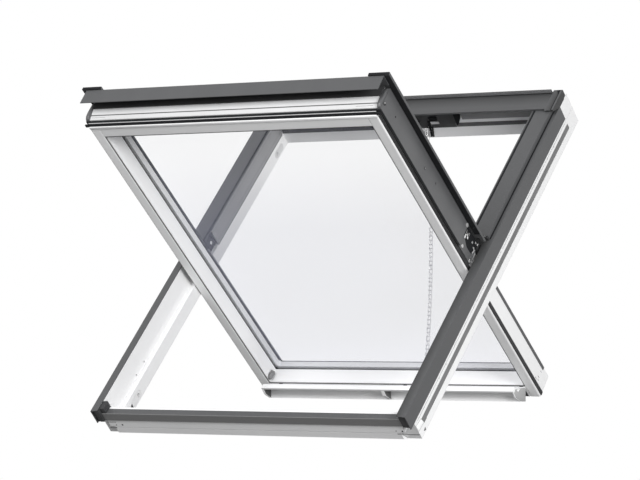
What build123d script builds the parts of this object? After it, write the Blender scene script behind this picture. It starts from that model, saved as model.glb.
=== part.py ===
from build123d import *
import math
import os

os.makedirs("parts", exist_ok=True)

# Pose of the window in its roof
roof_pitch_deg = 45.0
opening_deg = 85.0

# Clearances and small common sizes
touch_gap = 0.2
seat_gap = 0.4
shake_gap = 0.6
bore_clearance = 0.05
press_clearance = 0.02
overrun = 2.0
sheet = 1.5
thin_sheet = 1.0
line_width = 1.0
line_depth = 0.8
softened_share = 0.99

# Fixed frame, measured from the pivot axis with the window shut
frame_width = 780.0
frame_height = 978.0
pivot_above_end = 502.6
pivot_above_ridge = 13.7
frame_depth = 81.8
cover_width = 20.0
cover_rise = 2.9
cover_flank = 36.0
stile_inset = 2.0
reveal_step = 11.5
reveal_band = 30.0
rail_setback = 7.0
stile_setback = 12.0
rail_end_gap = 3.5
rail_wall = 19.6
rail_drop = 14.0
rail_chamfer = 10.0
rail_rebate = 36.0
rebate_height = 16.5
rail_line_up = 26.0
stile_line_up = 39.0
strip_top = 30.0
strip_height = 13.8
strip_depth = 5.0
strip_end_low = 48.6
strip_end_high = 42.0
top_rail_depth = 37.3
flank_end = 45.0
ridge_end = 18.0

# Fixed frame covers
bottom_cover_depth = 13.4
bottom_cover_flank = 18.5
upper_cover_inset = 8.6
upper_cover_height = 12.0
upper_face_width = 37.9
seal_groove_width = 3.5
seal_groove_depth = 1.6
bead_width = 4.0
upper_cover_start = 10.0
upper_cover_end = 46.0
cap_width = 22.0
casing_front = 70.2
casing_face = 52.4
casing_rise = 17.0
casing_lip = 9.0
casing_edge = 4.5
casing_back_drop = 11.8
cap_front = 76.0
cap_front_drop = 3.0
cap_wall = 2.0
cap_back = 9.0

# Chain drive in the top rail
drive_top_half = 130.0
drive_bottom_half = 106.0
drive_drop = 12.8
drive_height = 41.0
drive_plate = 1.7
drive_half = 100.0
drive_inset = 6.0
drive_thickness = 22.0
drive_shrink = 4.0
outlet_x = 55.5
outlet_width = 21.0
outlet_height = 7.0
outlet_proud = 1.4
outlet_drop = 22.0
chain_x = 36.0
chain_count = 30
chain_link_width = 6.0
chain_link_thickness = 7.0
chain_link_gap = 0.5
chain_waist_share = 0.6
chain_bow = 9.0
chain_top_inset = 4.0
chain_way_low = 16.0
chain_way_high = 6.0
chain_top_drop = 54.0
chain_bracket_width = 15.0
chain_bracket_reach = 2.6
chain_bracket_height = 17.0
chain_bracket_wall = 3.0
chain_bracket_base = 1.2
chain_way_depth = 12.0
chain_end_drop = 21.0

# Sash, measured from the pivot axis with the window shut
sash_side_gap = 2.1
sash_face = 25.0
sash_edge_radius = 3.5
sash_bottom_gap = 26.4
sash_top_gap = 3.2
sash_top_face = 34.5
sash_inside = 74.7
sash_reveal = 42.0
sash_line_up = 4.5
sash_rebate = 10.6
sash_rail_drop = 12.0
stile_drop = 18.0
edge_step = 6.4
edge_gasket_room = 13.0
edge_gasket_reach = 13.0
edge_white_reach = 14.4
edge_slope = 6.0
edge_white_top = 40.0
edge_seal = 2.6
edge_seal_height = 18.0
gasket_thickness = 1.5
gasket_height = 6.0
gasket_start = 0.5
rib_height = 2.5
rib_gap = 1.5
glass_thickness = 4.0
glass_overlap = 9.1
bedding = 2.0
air_gap = 15.0
bedding_width = 5.6
spacer_width = 9.0
spacer_inset = 3.4
spacer_radius = 14.0
glass_cover_gap = 0.3

# Sash covers
lower_cover_inset = 9.8
lower_cover_lap = 0.4
lower_cover_top = 1.7
lower_cover_height = 5.7
lower_cover_end = 4.0
hinge_notch_lap = 1.4
hinge_notch_room = 1.5
hinge_notch_y = 9.5
profile_width = 8.5
profile_rise = 11.6
profile_high = 7.8
profile_near = 52.0
profile_overhang = 14.9
profile_hole_r = 2.2
profile_hole_shares = ((0.9805, 0.664), (0.8853, 0.537), (0.4459, 0.447))
profile_hole_depth = 3.0
flange_gap = 1.5
flange_overhang = 5.7
flange_low = 45.2
flange_high = 8.8
bottom_plate_inset = 0.6
bottom_plate_gap = 2.3
bottom_plate_lap = 24.4
upper_lap = 5.4
upper_step_room = 1.5
upper_lip_wall = 1.0
upper_lip_low = 24.4
upper_top = 6.0
upper_step_drop = 16.5
upper_start = 12.0
upper_short = 28.9
top_cover_joint = 1.5
top_step_room = 2.0
top_lip_wall = 1.2
top_sheet = 0.8

# Pivot hinges
pin_r = 4.0
frame_knuckle_r = 7.5
sash_knuckle_r = 7.8
frame_hinge_width = 8.0
frame_hinge_near = 20.0
frame_hinge_far = 62.0
frame_hinge_high = 22.0
frame_hinge_gap = 5.5
sash_hinge_plate = 4.0
sash_hinge_near = 11.0
sash_hinge_far = 49.0
sash_hinge_high = 12.0
sash_hinge_rise = 12.7
slot_r = 40.0
slot_width = 6.0
slot_start_deg = 212.0
slot_end_deg = 270.0
screw_r = 4.0
screw_head = 1.2
frame_screw_y = (-8.0, 24.0, 50.0)
frame_screw_z = 46.0
sash_screws = ((6.0, 54.0), (-38.0, 54.0), (-42.0, 17.0))
pin_end_gap = 0.8

# Barrel bolt with its two bushes
bolt_below_top = 8.4
bolt_rise = 17.7
bolt_r = 4.0
bolt_bore_clearance = 0.1
bolt_travel = 8.0
bolt_setback = 0.6
knob_length = 26.0
knob_width = 15.0
knob_proud = 9.0
knob_gap = 0.4
knob_seat = 0.6
knob_foot = 2.0
bush_rise = 11.5
bush_length = 44.0
bush_width = 16.0
bush_depth = 8.0
bush_wall = 1.5
bush_hole_r = 4.8
bush_shift = 10.0
bush_gap = 0.3

# Control bar
bar_axis_up = 8.6
bar_axis_out = 9.3
bar_left_gap = 12.4
bar_right_gap = 0.4
bar_plate = 4.0
bar_cap = 2.5
bar_mid_half = 4.0
bar_shaft_r = 3.0
bar_shaft_inset = 1.5
bar_back = 1.0
bar_wall = 4.0
bar_front_down = 34.4
bar_front_out = 29.8
bar_front_height = 12.0
bar_foot_down = 15.4
bar_foot_out = 44.3
bar_heel_up = 6.6
bar_heel_out = 36.8
bar_end_up = 25.6
bar_end_out = 21.8
bar_rear_up = 8.1
bar_trough_back = 17.7
bar_trough_rise = 20.9
bar_lip_wall = 5.0
bracket_width = 9.0
bracket_side_gap = 0.5
bracket_near = 9.0
bracket_far = 25.0
bracket_nose_r = 5.5
bracket_tip_up = 6.0
bracket_tip_out = 3.0
bracket_left_inset = 19.0
bracket_mid = 30.0
notch_down = 11.0
notch_out = 9.0

# Screw holes for the roof brackets
mount_pair = 40.0
mount_hole_r = 2.5
mount_hole_depth = 18.0
mount_from_end = 172.6
mount_from_top = 145.4
mount_rise = 36.0

# Derived lines of the fixed frame
side_x = frame_width / 2
pocket_x = side_x - cover_width
band_x = pocket_x - reveal_step
stile_x = side_x - stile_inset
z_ridge = -pivot_above_ridge
z_edge = z_ridge + cover_rise
z_back = z_ridge - frame_depth
z_band = z_back + reveal_band
y_end = -pivot_above_end
y_rail = y_end + rail_setback
y_wall = y_rail + rail_wall
y_top = y_end + frame_height
y_head = y_top - top_rail_depth
z_rail = z_ridge - rail_drop
z_cover = z_ridge + upper_cover_height

casing_half = side_x - cap_width
frame_hinge_inner = pocket_x - frame_hinge_width
frame_hinge_low = -z_band - frame_hinge_gap
bush_z = -z_back - bush_rise

# Derived lines of the sash
sash_half = band_x - sash_side_gap
sash_bottom_reach = -y_wall - sash_bottom_gap
sash_top_reach = y_head - sash_top_gap
aperture_x = sash_half - sash_face
aperture_low = -sash_bottom_reach + sash_face
aperture_high = sash_top_reach - sash_top_face
z_inside = -sash_inside
z_ledge = z_inside + sash_reveal
z_pane_in = z_ledge + bedding
z_gap_in = z_pane_in + glass_thickness
z_gap_out = z_gap_in + air_gap
z_glass = z_gap_out + glass_thickness
pane_x = aperture_x + glass_overlap
pane_low = aperture_low - glass_overlap
pane_high = aperture_high + glass_overlap
lower_cover_outer = side_x - lower_cover_inset
lower_cover_inner = aperture_x - lower_cover_lap
lower_cover_reach = pivot_above_end
hinge_notch_inner = sash_half - hinge_notch_lap
hinge_notch_outer = pocket_x + hinge_notch_room
profile_low = sash_inside - profile_rise
profile_far = sash_bottom_reach + profile_overhang
flange_half = pocket_x - flange_gap
flange_reach = -y_rail + flange_overhang
bottom_plate_half = sash_half - bottom_plate_inset
bottom_plate_inner = -pane_low + bottom_plate_gap
bottom_plate_narrow = sash_bottom_reach + bottom_plate_lap
upper_inner_x = aperture_x - upper_lap
upper_step_x = aperture_x + sash_rebate + upper_step_room
upper_lip_x = sash_half + upper_lip_wall
upper_end = sash_top_reach - upper_short
top_cover_start = upper_end + top_cover_joint
top_step_y = aperture_high + sash_rebate + top_step_room
top_lip_y = sash_top_reach + top_lip_wall
sash_hinge_low = sash_inside - sash_hinge_rise
bolt_y = aperture_high - bolt_below_top
bolt_z = sash_inside - bolt_rise
bar_left = -aperture_x + bar_left_gap
bar_right = aperture_x - bar_right_gap
bracket_left = bar_left + bracket_left_inset
bracket_right = bar_right - bar_cap - bracket_side_gap - bracket_width / 2
bar_axis_y = aperture_high + bar_axis_up
bar_axis_z = sash_inside + bar_axis_out
bar_front_y = aperture_high - bar_front_down
bar_front_high = sash_inside + bar_front_out
bar_front_low = bar_front_high + bar_front_height
bar_foot_y = aperture_high - bar_foot_down
bar_foot_z = sash_inside + bar_foot_out
bar_heel_y = aperture_high + bar_heel_up
bar_heel_z = sash_inside + bar_heel_out
bar_end_y = aperture_high + bar_end_up
bar_end_z = sash_inside + bar_end_out
bar_rear_y = aperture_high + bar_rear_up


def along_x(points, low, high):
    face = make_face(Polyline(*[(0, y, z) for y, z in points], close=True))
    return Pos(low, 0, 0) * extrude(face, amount=high - low, dir=(1, 0, 0))


def along_y(points, low, high):
    face = make_face(Polyline(*[(x, 0, z) for x, z in points], close=True))
    return Pos(0, low, 0) * extrude(face, amount=high - low, dir=(0, 1, 0))


def block(x, y, z):
    size = Box(x[1] - x[0], y[1] - y[0], z[1] - z[0])
    return Pos((x[0] + x[1]) / 2, (y[0] + y[1]) / 2, (z[0] + z[1]) / 2) * size


def rod(radius, low, high, y, z):
    return Pos((low + high) / 2, y, z) * Rot(0, 90, 0) * Cylinder(radius, high - low)


def obround(length, width, low, high, y, z, upright):
    flat = SlotOverall(length, width)
    turn = 90 if upright else 0
    lying = Rot(0, 0, turn) * flat
    return Plane((low, y, z), (0, 1, 0), (1, 0, 0)) * extrude(lying, amount=high - low)


def ring(half, low, high, radius, band, z_low, z_high):
    outer = Pos(0, (low + high) / 2) * RectangleRounded(2 * half, high - low, radius)
    inner = Pos(0, (low + high) / 2) * RectangleRounded(
        2 * (half - band), high - low - 2 * band, radius - min(band, radius / 2)
    )
    return Pos(0, 0, z_low) * extrude(outer - inner, amount=z_high - z_low)


def softened(part, radius, lines):
    chosen = []
    for edge in part.edges():
        middle = edge.center()
        for axis, y, z in lines:
            if axis == "x" and abs(edge.tangent_at(0).X) > softened_share:
                if math.hypot(middle.Y - y, middle.Z - z) < seat_gap:
                    chosen.append(edge)
            if axis == "y" and abs(edge.tangent_at(0).Y) > softened_share:
                if math.hypot(middle.X - y, middle.Z - z) < seat_gap:
                    chosen.append(edge)
    return fillet(chosen, radius)


def mirrored(part):
    return mirror(part, about=Plane.YZ)


def solids_of(*parts):
    found = []
    for part in parts:
        found.extend(part.solids())
    return Compound(found)


def write(name, part, turn):
    export_step(Rot(turn, 0, 0) * part, os.path.join("parts", name + ".step"))


def frame_piece(name, part):
    write(name, part, roof_pitch_deg)


def sash_piece(name, part):
    write(name, part, roof_pitch_deg - opening_deg)


def frame_pair(name, part):
    frame_piece(name + "_right", part)
    frame_piece(name + "_left", mirrored(part))


def sash_pair(name, part):
    sash_piece(name + "_right", part)
    sash_piece(name + "_left", mirrored(part))


# Frame stiles
stile = along_y(
    [
        (stile_x, z_ridge - sheet - touch_gap),
        (pocket_x, z_edge - sheet - touch_gap),
        (pocket_x, z_band),
        (band_x, z_band),
        (band_x, z_back),
        (stile_x, z_back),
    ],
    y_rail + stile_setback,
    y_top,
)
strip_y = (y_rail + strip_end_low, y_top - strip_end_high)
strip_z = (z_back + strip_top - strip_height, z_back + strip_top)
stile -= block((stile_x - strip_depth, stile_x + overrun), strip_y, strip_z)
line_z = z_back + stile_line_up
stile -= block(
    (stile_x - line_depth, stile_x + overrun),
    (y_rail - overrun, y_top + overrun),
    (line_z, line_z + line_width),
)
chamfer_cut = along_x(
    [
        (y_rail - overrun, z_back + rail_chamfer + overrun),
        (y_rail - overrun, z_back - overrun),
        (y_rail + rail_chamfer + overrun, z_back - overrun),
    ],
    -side_x,
    side_x,
)
stile -= chamfer_cut
mount_z = z_back + mount_rise
for centre in (y_end + mount_from_end, y_top - mount_from_top):
    for side in (-mount_pair / 2, mount_pair / 2):
        stile -= rod(mount_hole_r, stile_x - mount_hole_depth, stile_x + overrun, centre + side, mount_z)

hole_polar = math.asin(bush_z / math.hypot(bolt_y, bolt_z))
hole_y = math.hypot(bolt_y, bolt_z) * math.cos(hole_polar)
bush_in = -band_x - bush_depth
bushes = {}
left_stile = mirrored(stile)
for name, hole, centre in (
    ("ventilation_bush", hole_y, hole_y + bush_shift),
    ("cleaning_bush", -hole_y, -hole_y - bush_shift),
):
    bush = obround(bush_length, bush_width, bush_in, -band_x, centre, -bush_z, False)
    bush -= rod(bush_hole_r, bush_in + bush_wall, -band_x + overrun, hole, -bush_z)
    bushes[name] = bush
    left_stile -= obround(
        bush_length + 2 * bush_gap,
        bush_width + 2 * bush_gap,
        bush_in,
        -band_x + overrun,
        centre,
        -bush_z,
        False,
    )
frame_piece("frame_stile_right", stile)
frame_piece("frame_stile_left", left_stile)
for name, bush in bushes.items():
    frame_piece(name, bush)

# Strips in the outer grooves of the stiles
strip = block((stile_x - strip_depth, stile_x - line_depth), strip_y, strip_z)
frame_pair("side_strip", strip)

# Bottom rail with its rebate under the sash
rail_upper = along_x(
    [(y_rail, z_rail), (y_wall, z_rail), (y_wall, z_band), (y_rail, z_band)], -pocket_x, pocket_x
)
z_rebate = z_back + rebate_height
rail_lower = along_x(
    [
        (y_rail, z_band),
        (y_wall, z_band),
        (y_wall, z_rebate),
        (y_wall + rail_rebate, z_rebate),
        (y_wall + rail_rebate, z_back),
        (y_rail + rail_chamfer, z_back),
        (y_rail, z_back + rail_chamfer),
    ],
    -band_x,
    band_x,
)
bottom_rail = rail_upper + rail_lower
for outer, high, low in ((pocket_x, z_rail, z_band), (band_x, z_band, z_back)):
    for side in (-1, 1):
        ends = sorted((side * (outer - rail_end_gap), side * (outer + overrun)))
        bottom_rail -= block(ends, (y_rail - overrun, y_rail + stile_setback), (low, high))
rail_line = z_back + rail_line_up
bottom_rail -= block(
    (-side_x, side_x), (y_rail - overrun, y_rail + line_depth), (rail_line, rail_line + line_width)
)
frame_piece("frame_bottom_rail", bottom_rail)

# Top rail with the pockets for the chain drive
z_head = z_edge - sheet - touch_gap
head = along_x(
    [(y_head, z_head), (y_top, z_head), (y_top, z_band), (y_head, z_band)], -pocket_x, pocket_x
)
head += along_x(
    [(y_head, z_band), (y_top, z_band), (y_top, z_back), (y_head, z_back)], -band_x, band_x
)
drive_z = (z_ridge - drive_drop - drive_height, z_ridge - drive_drop)
drive_room = (y_head + drive_inset, y_head + drive_inset + drive_thickness)
drive_core_z = (drive_z[0] + drive_shrink, drive_z[1] - drive_shrink)
head -= block((-drive_half, drive_half), drive_room, drive_core_z)
plate = along_y(
    [
        (-drive_top_half, drive_z[1]),
        (drive_top_half, drive_z[1]),
        (drive_bottom_half, drive_z[0]),
        (-drive_bottom_half, drive_z[0]),
    ],
    y_head,
    y_head + drive_plate,
)
chain_top_z = z_ridge - chain_top_drop
way_half = chain_link_thickness / 2 + bush_gap
chain_way = block(
    (chain_x - way_half, chain_x + way_half),
    (y_head - overrun, y_head + chain_way_depth),
    (chain_top_z - chain_way_low, chain_top_z + chain_way_high),
)
frame_piece("frame_top_rail", head - plate - chain_way)
drive = block((-drive_half, drive_half), drive_room, drive_core_z)
frame_piece("chain_drive", drive - chain_way)
frame_piece("drive_cover", plate - chain_way)
outlet_z = drive_z[1] - outlet_drop
outlet = block(
    (outlet_x - outlet_width / 2, outlet_x + outlet_width / 2),
    (y_head - outlet_proud, y_head),
    (outlet_z - outlet_height, outlet_z),
)
frame_piece("drive_tab", outlet)

# Lower side covers run the whole length of the stiles
lower_cover = along_y(
    [
        (pocket_x, z_edge),
        (side_x, z_ridge),
        (side_x, z_ridge - cover_flank),
        (side_x - sheet, z_ridge - cover_flank),
        (side_x - sheet, z_ridge - sheet),
        (pocket_x, z_edge - sheet),
    ],
    y_end,
    y_top - flank_end,
)
lower_cover += along_y(
    [
        (pocket_x, z_edge),
        (side_x, z_ridge),
        (side_x, z_ridge - sheet),
        (side_x - sheet, z_ridge - sheet),
        (pocket_x, z_edge - sheet),
    ],
    y_top - flank_end,
    y_top - ridge_end,
)
frame_pair("frame_lower_cover", lower_cover)

# Bottom cover between the side covers
bottom_cover = along_x(
    [
        (y_rail - seat_gap - sheet, z_rail - bottom_cover_flank),
        (y_rail - seat_gap - sheet, z_rail + sheet),
        (y_rail + bottom_cover_depth, z_rail + sheet),
        (y_rail + bottom_cover_depth, z_rail + touch_gap),
        (y_rail - seat_gap, z_rail + touch_gap),
        (y_rail - seat_gap, z_rail - bottom_cover_flank),
    ],
    -pocket_x + shake_gap,
    pocket_x - shake_gap,
)
frame_piece("frame_bottom_cover", bottom_cover)

# Upper side covers with a seal groove and a bead
flank_x = side_x - upper_cover_inset
groove_x = flank_x - upper_face_width
bead_x = groove_x - seal_groove_width
z_floor = z_cover - seal_groove_depth
z_foot = z_ridge + cover_rise * upper_cover_inset / cover_width + seat_gap
upper_cover = along_y(
    [
        (flank_x, z_foot),
        (flank_x, z_cover),
        (groove_x, z_cover),
        (groove_x, z_floor),
        (bead_x, z_floor),
        (bead_x, z_cover),
        (bead_x - bead_width, z_cover),
        (bead_x - bead_width, z_cover - thin_sheet),
        (bead_x - thin_sheet, z_cover - thin_sheet),
        (bead_x - thin_sheet, z_floor - thin_sheet),
        (groove_x + thin_sheet, z_floor - thin_sheet),
        (groove_x + thin_sheet, z_cover - thin_sheet),
        (flank_x - thin_sheet, z_cover - thin_sheet),
        (flank_x - thin_sheet, z_foot),
    ],
    upper_cover_start,
    y_top - upper_cover_end,
)
frame_pair("frame_upper_cover", upper_cover)
cord = block(
    (bead_x, groove_x), (upper_cover_start, y_top - upper_cover_end), (z_floor, z_cover - line_depth)
)
frame_pair("upper_cover_seal", cord)

# Top casing with an upstand and its two end caps
casing_y = y_top - casing_front
z_casing = z_ridge + casing_rise
y_lip = casing_y + casing_face
casing = along_x(
    [
        (casing_y, z_casing - casing_edge),
        (casing_y, z_casing),
        (y_lip, z_casing),
        (y_lip, z_casing + casing_lip),
        (y_lip + sheet, z_casing + casing_lip),
        (y_lip + sheet, z_casing - casing_back_drop),
        (y_top, z_casing - casing_back_drop),
        (y_top, z_casing - casing_back_drop - sheet),
        (y_lip, z_casing - casing_back_drop - sheet),
        (y_lip, z_casing - sheet),
        (casing_y + sheet, z_casing - sheet),
        (casing_y + sheet, z_casing - casing_edge),
    ],
    -casing_half,
    casing_half,
)
frame_piece("top_casing", casing)
cap_low = z_ridge + seat_gap
cap = along_y(
    [
        (casing_half, z_edge + seat_gap),
        (side_x, cap_low),
        (side_x, z_casing),
        (casing_half, z_casing),
    ],
    y_top - cap_front,
    y_top - cap_back,
)
cap -= block(
    (casing_half - overrun, side_x - cap_wall),
    (y_top - cap_front - overrun, y_top - cap_back - cap_wall),
    (cap_low - overrun, z_casing - cap_wall),
)
cap -= along_x(
    [
        (y_top - cap_front - overrun, cap_low - overrun),
        (y_top - cap_front - overrun, z_casing - cap_front_drop),
        (y_top - flank_end, cap_low - overrun),
    ],
    casing_half - overrun,
    side_x + overrun,
)
frame_pair("casing_end_cap", cap)

# Hinge plates and pins on the frame
knuckle = rod(frame_knuckle_r, frame_hinge_inner, pocket_x, 0, 0)
stem = block(
    (frame_hinge_inner, pocket_x), (-frame_knuckle_r, frame_knuckle_r), (-frame_hinge_low, 0)
)
foot = block(
    (frame_hinge_inner, pocket_x),
    (-frame_hinge_near, frame_hinge_far),
    (-frame_hinge_low, -frame_hinge_high),
)
frame_hinge = knuckle + stem + foot
frame_hinge -= rod(pin_r + press_clearance, frame_hinge_inner - overrun, pocket_x + overrun, 0, 0)
for y in frame_screw_y:
    frame_hinge -= rod(
        screw_r + bush_gap,
        frame_hinge_inner - overrun,
        frame_hinge_inner + screw_head,
        y,
        -frame_screw_z,
    )
frame_pair("frame_hinge", frame_hinge)
sash_hinge_outer = sash_half + touch_gap + sash_hinge_plate
pin = rod(pin_r, sash_half + touch_gap - pin_end_gap, pocket_x, 0, 0)
frame_pair("hinge_pin", pin)
heads = []
for y in frame_screw_y:
    heads.append(rod(screw_r, frame_hinge_inner, frame_hinge_inner + screw_head, y, -frame_screw_z))
frame_piece("frame_hinge_screws", solids_of(*heads, *[mirrored(head) for head in heads]))

# Sash stiles
sash_stile = along_y(
    [
        (aperture_x, z_inside),
        (sash_half, z_inside),
        (sash_half, -stile_drop),
        (aperture_x + sash_rebate, -stile_drop),
        (aperture_x + sash_rebate, z_ledge),
        (aperture_x, z_ledge),
    ],
    -sash_bottom_reach,
    sash_top_reach,
)
sash_stile = softened(
    sash_stile, sash_edge_radius, [("y", aperture_x, z_inside), ("y", sash_half, z_inside)]
)
sash_line = z_inside + sash_line_up
sash_stile -= block(
    (aperture_x - overrun, aperture_x + line_depth),
    (-sash_bottom_reach - overrun, sash_top_reach + overrun),
    (sash_line, sash_line + line_width),
)
sash_piece("sash_stile_right", sash_stile)
knob_room = bolt_travel + knob_seat
left_sash_stile = mirrored(sash_stile)
left_sash_stile -= rod(
    bolt_r + bolt_bore_clearance, -sash_half - overrun, -aperture_x + overrun, bolt_y, -bolt_z
)
left_sash_stile -= obround(
    knob_length + 2 * knob_gap,
    knob_width + 2 * knob_gap,
    -aperture_x - knob_room,
    -aperture_x + overrun,
    bolt_y,
    -bolt_z,
    True,
)
sash_piece("sash_stile_left", left_sash_stile)

# Sash rails
edge_in = -sash_bottom_reach - edge_step
edge_white = -sash_bottom_reach - edge_white_reach
edge_out = edge_white - edge_slope
z_white = z_inside + edge_white_top
z_gasket_top = z_inside + edge_gasket_room + line_width
low_rail = along_x(
    [
        (aperture_low, z_inside),
        (-sash_bottom_reach, z_inside),
        (-sash_bottom_reach, -sash_rail_drop),
        (aperture_low - sash_rebate, -sash_rail_drop),
        (aperture_low - sash_rebate, z_ledge),
        (aperture_low, z_ledge),
    ],
    -aperture_x,
    aperture_x,
)
low_rail = softened(low_rail, sash_edge_radius, [("x", aperture_low, z_inside)])
low_rail += along_x(
    [
        (-sash_bottom_reach, z_inside + line_width),
        (edge_in, z_inside + line_width),
        (edge_in, z_gasket_top),
        (edge_white, z_gasket_top),
        (edge_out, z_white),
        (edge_out, -sash_rail_drop),
        (-sash_bottom_reach, -sash_rail_drop),
    ],
    -sash_half,
    sash_half,
)
low_rail -= block(
    (-aperture_x - overrun, aperture_x + overrun),
    (aperture_low - line_depth, aperture_low + overrun),
    (sash_line, sash_line + line_width),
)
sash_piece("sash_bottom_rail", low_rail)
high_rail = along_x(
    [
        (aperture_high, z_inside),
        (sash_top_reach, z_inside),
        (sash_top_reach, -stile_drop),
        (aperture_high + sash_rebate, -stile_drop),
        (aperture_high + sash_rebate, z_ledge),
        (aperture_high, z_ledge),
    ],
    -aperture_x,
    aperture_x,
)
high_rail = softened(high_rail, sash_edge_radius, [("x", aperture_high, z_inside)])
high_rail -= block(
    (-aperture_x - overrun, aperture_x + overrun),
    (aperture_high - overrun, aperture_high + line_depth),
    (sash_line, sash_line + line_width),
)
sash_piece("sash_top_rail", high_rail)

# Insulating glass unit
pane_y = (pane_low, pane_high)
sash_piece("inner_pane", block((-pane_x, pane_x), pane_y, (z_pane_in, z_gap_in)))
sash_piece("outer_pane", block((-pane_x, pane_x), pane_y, (z_gap_out, z_glass)))
bed = ring(
    aperture_x + bedding_width,
    aperture_low - bedding_width,
    aperture_high + bedding_width,
    spacer_radius,
    bedding_width,
    z_ledge,
    z_pane_in,
)
sash_piece("glazing_gasket", bed)
spacer_x = aperture_x - spacer_inset + spacer_width
spacer = ring(
    spacer_x,
    aperture_low + spacer_inset - spacer_width,
    aperture_high - spacer_inset + spacer_width,
    spacer_radius,
    spacer_width,
    z_gap_in,
    z_gap_out,
)
sash_piece("glazing_spacer", spacer)
seal = block((-pane_x, pane_x), pane_y, (z_gap_in, z_gap_out))
seal_hole = Pos(0, (aperture_low + aperture_high) / 2) * RectangleRounded(
    2 * (spacer_x + bore_clearance),
    aperture_high - aperture_low + 2 * (spacer_width - spacer_inset + bore_clearance),
    spacer_radius + bore_clearance,
)
seal -= Pos(0, 0, z_gap_in - overrun) * extrude(seal_hole, amount=air_gap + 2 * overrun)
sash_piece("glazing_edge_seal", seal)

# Weather gaskets around the sash
gasket_z = (z_inside + sash_edge_radius + gasket_start, z_inside + sash_edge_radius + gasket_height)
side_gasket = block(
    (sash_half, sash_half + gasket_thickness), (-sash_bottom_reach, sash_top_reach), gasket_z
)
sash_pair("sash_side_gasket", side_gasket)
rib_low = z_inside + 2 * line_width
rib_face = -sash_bottom_reach - edge_gasket_reach
foot_gasket = along_x(
    [
        (edge_in, rib_low),
        (rib_face, rib_low),
        (rib_face, rib_low + rib_height),
        (edge_in - line_width, rib_low + rib_height),
        (edge_in - line_width, rib_low + rib_height + rib_gap),
        (rib_face, rib_low + rib_height + rib_gap),
        (rib_face, z_gasket_top - line_width),
        (edge_in, z_gasket_top - line_width),
    ],
    -sash_half,
    sash_half,
)
sash_piece("sash_bottom_gasket", foot_gasket)
edge_strip = block(
    (-sash_half, sash_half), (edge_out - edge_seal, edge_out), (z_white, z_white + edge_seal_height)
)
sash_piece("sash_bottom_seal", edge_strip)

# Sash covers, lower half
plate_z = (-lower_cover_top - lower_cover_height, -lower_cover_top)
lower_sash_cover = block(
    (lower_cover_inner, lower_cover_outer), (-lower_cover_reach, lower_cover_end), plate_z
)
lower_sash_cover -= block(
    (hinge_notch_inner, hinge_notch_outer),
    (-hinge_notch_y, lower_cover_end + overrun),
    (plate_z[0] - overrun, plate_z[1] + overrun),
)
sash_pair("sash_lower_cover", lower_sash_cover)
profile_x = (sash_half + touch_gap, sash_half + touch_gap + profile_width)
profile = block(profile_x, (-profile_far, -profile_near), (-profile_low, -profile_high))
for length_share, height_share in profile_hole_shares:
    hole_low = -profile_far * length_share
    hole_drop = profile_high + (profile_low - profile_high) * height_share
    profile -= rod(
        profile_hole_r, profile_x[1] - profile_hole_depth, profile_x[1] + overrun, hole_low, -hole_drop
    )
sash_pair("sash_side_profile", profile)
skirt = block(
    (-flange_half, flange_half), (-flange_reach, -flange_reach + sheet), (-flange_low, -flange_high)
)
skirt += block(
    (-flange_half, flange_half),
    (-flange_reach, -bottom_plate_narrow),
    (-flange_high - sheet, -flange_high),
)
skirt += block(
    (-bottom_plate_half, bottom_plate_half),
    (-bottom_plate_narrow, -bottom_plate_inner),
    (-flange_high - sheet, -flange_high),
)
sash_piece("sash_bottom_cover", skirt)

# Sash covers, upper half and top
z_inner_top = -upper_top
z_step_top = -upper_step_drop
upper_sash_cover = along_y(
    [
        (upper_inner_x, z_inner_top),
        (upper_step_x, z_inner_top),
        (upper_step_x, z_step_top),
        (upper_lip_x, z_step_top),
        (upper_lip_x, -upper_lip_low),
        (sash_half + touch_gap, -upper_lip_low),
        (sash_half + touch_gap, z_step_top - thin_sheet),
        (upper_step_x - thin_sheet, z_step_top - thin_sheet),
        (upper_step_x - thin_sheet, z_glass + glass_cover_gap),
        (upper_inner_x, z_glass + glass_cover_gap),
    ],
    upper_start,
    upper_end,
)
sash_pair("sash_upper_cover", upper_sash_cover)
top_cover = along_x(
    [
        (top_cover_start, z_inner_top),
        (top_step_y, z_inner_top),
        (top_step_y, z_step_top),
        (top_lip_y, z_step_top),
        (top_lip_y, -upper_lip_low),
        (top_lip_y - top_sheet, -upper_lip_low),
        (top_lip_y - top_sheet, z_step_top - thin_sheet),
        (top_step_y - thin_sheet, z_step_top - thin_sheet),
        (top_step_y - thin_sheet, z_glass + glass_cover_gap),
        (top_cover_start, z_glass + glass_cover_gap),
    ],
    -upper_lip_x,
    upper_lip_x,
)
bracket_z = -(upper_step_drop + chain_bracket_height)
bracket_x_low = chain_x - chain_bracket_width / 2
bracket_x_high = chain_x + chain_bracket_width / 2
bracket_side = (bracket_x_low - seat_gap, bracket_x_high + seat_gap)
top_cover -= block(
    bracket_side,
    (top_lip_y - top_sheet - overrun, top_lip_y + overrun),
    (-upper_lip_low - overrun, z_step_top - thin_sheet - seat_gap),
)
sash_piece("sash_top_cover", top_cover)

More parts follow.
